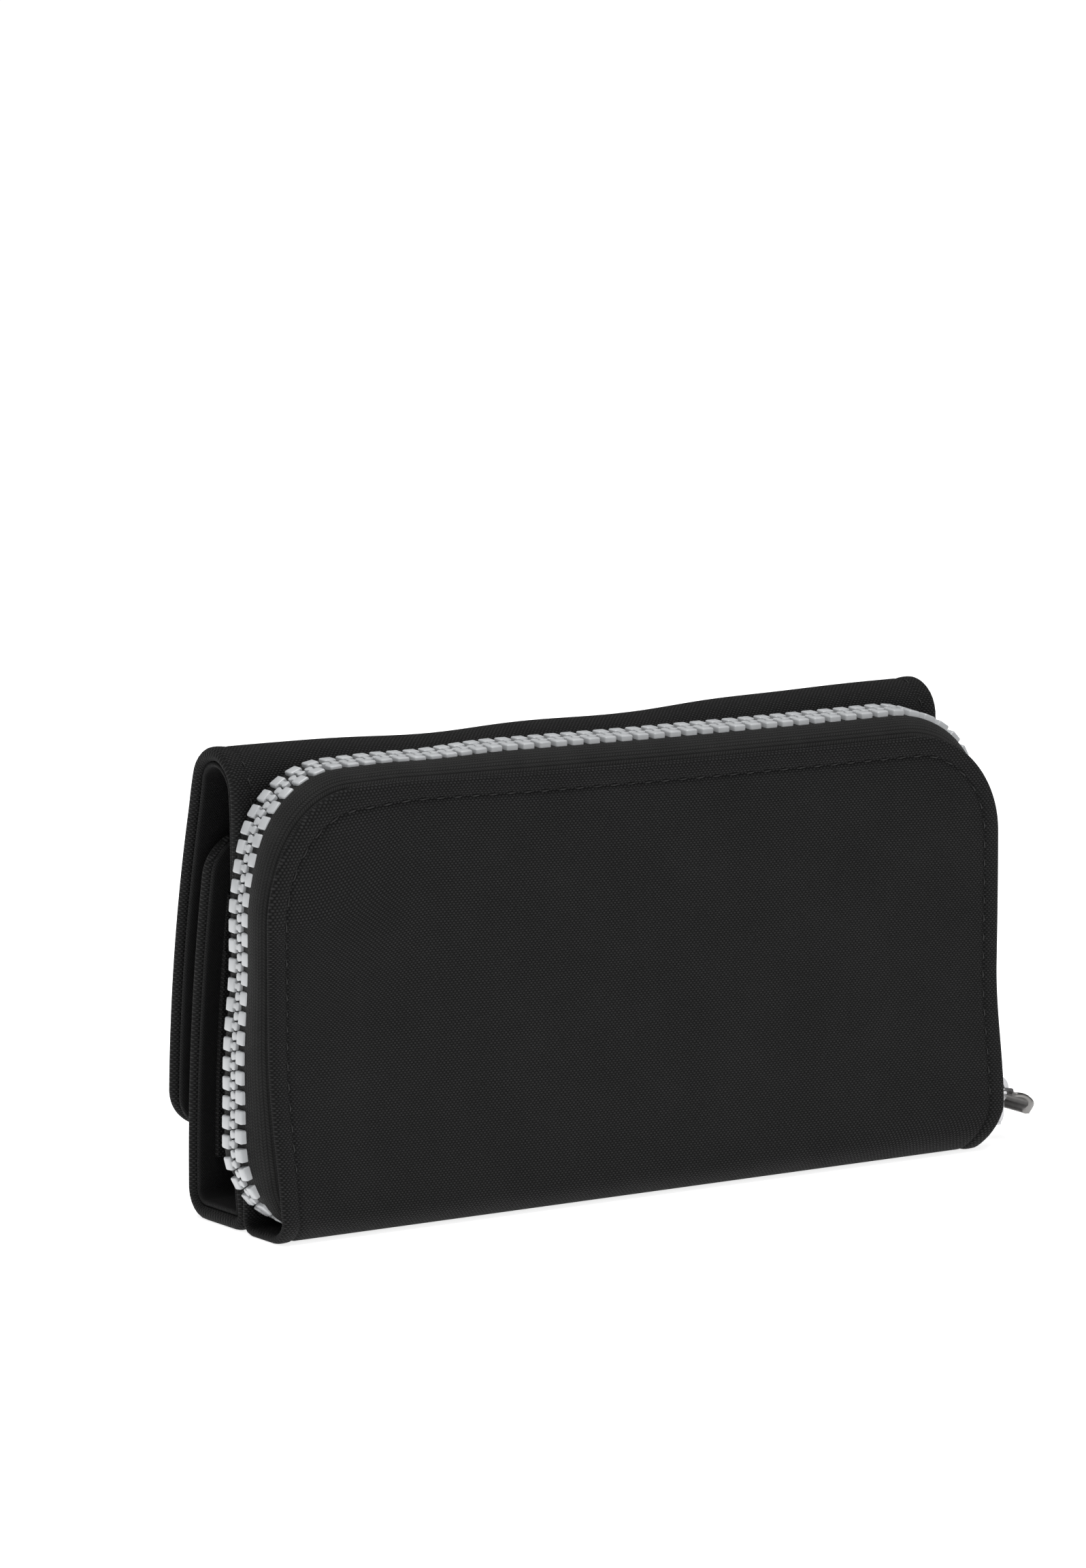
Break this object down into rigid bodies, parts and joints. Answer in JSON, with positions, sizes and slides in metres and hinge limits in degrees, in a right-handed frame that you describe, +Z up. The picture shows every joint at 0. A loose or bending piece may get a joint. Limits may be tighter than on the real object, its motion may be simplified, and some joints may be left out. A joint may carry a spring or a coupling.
{
  "type": "zippered pouch",
  "caption": "Long trifold nylon wallet with a zip-round coin pocket on its back, a fold-over flap, card slots and a press stud.",
  "frame": {"origin": "underside of the wallet's bottom fold, at the middle of the width, on the table", "axes": "+X along the width towards the parked slider, +Y from the coin pocket towards the flap, +Z up"},
  "size_m": [0.1971, 0.0461, 0.098],
  "materials": {
    "nylon": "oxford weave with a slight sheen",
    "lining": "fine plain weave",
    "zip_tape": "knitted tape",
    "zip_teeth": "satin moulded",
    "stiffener_board": "pressed board",
    "stud_metal": "polished",
    "slider_metal": "polished nickel",
    "pull_metal": "satin"
  },
  "bodies": {
    "wallet_back": {"back_outer": "nylon", "back_stiffener": "stiffener_board", "back_lining": "lining", "back_slot_upper": "nylon", "back_slot_middle": "nylon", "back_slot_lower": "nylon", "bottom_fold_outer": "nylon", "bottom_fold_lining": "lining", "pocket_back_lining": "lining", "pocket_bottom_fold": "nylon", "far_tape": "zip_tape", "far_teeth": "zip_teeth", "closed_end_teeth": "zip_teeth", "bottom_stop": "zip_teeth", "top_stop": "zip_teeth"},
    "fold_rear": {"fold_rear_outer": "nylon", "fold_rear_lining": "lining"},
    "fold_front": {"fold_front_outer": "nylon", "fold_front_lining": "lining"},
    "flap": {"flap_outer": "nylon", "flap_stiffener": "stiffener_board", "flap_lining": "lining", "flap_slip_pocket": "nylon", "stud_cap": "stud_metal", "stud_socket": "stud_metal"},
    "inner_panel": {"inner_outer": "nylon", "inner_stiffener": "stiffener_board", "inner_lining": "lining", "inner_slot_upper": "nylon", "inner_slot_lower": "nylon", "stud_post": "stud_metal", "stud_rivet": "stud_metal"},
    "zip_panel": {"panel_outer": "nylon", "panel_lining": "lining", "near_tape": "zip_tape", "near_teeth": "zip_teeth"},
    "zip_slider": {"slider_body": "slider_metal", "slider_crown": "slider_metal"},
    "zip_pull": {"pull_link": "slider_metal", "pull_grip": "pull_metal"}
  },
  "joints": [
    {"name": "flap_open", "type": "hinge", "parent": "fold_front", "child": "flap", "pos_m": [0, 0.00849, 0.09385], "axis": [1, 0, 0], "range_deg": [0, 60]},
    {"name": "fold_rear_bend", "type": "hinge", "parent": "wallet_back", "child": "fold_rear", "pos_m": [0, -0.00589, 0.09385], "axis": [1, 0, 0], "range_deg": [0, 60]},
    {"name": "fold_front_bend", "type": "hinge", "parent": "fold_rear", "child": "fold_front", "pos_m": [0, 0.0013, 0.098], "axis": [1, 0, 0], "range_deg": [0, 60]},
    {"name": "inner_panel_open", "type": "hinge", "parent": "wallet_back", "child": "inner_panel", "pos_m": [0, 0.0136, 0.009], "axis": [-1, 0, 0], "range_deg": [0, 40]},
    {"name": "zip_panel_open", "type": "hinge", "parent": "wallet_back", "child": "zip_panel", "pos_m": [0, -0.025, 0.005], "axis": [1, 0, 0], "range_deg": [0, 90]},
    {"name": "zip_slide", "type": "slide", "parent": "wallet_back", "child": "zip_slider", "axis": [0, 0.0736, 0.9973], "range_m": [0, 0.036]},
    {"name": "pull_swing", "type": "hinge", "parent": "zip_slider", "child": "zip_pull", "pos_m": [0.0947, -0.0166, 0.011], "axis": [0, 0.9973, -0.0736], "range_deg": [-75, 40]}
  ],
  "couplings": [
    {"joint": "fold_rear_bend", "follows": "flap_open", "ratio": 1},
    {"joint": "fold_front_bend", "follows": "flap_open", "ratio": 1},
    {"joint": "inner_panel_open", "follows": "flap_open", "ratio": 0.6666}
  ]
}
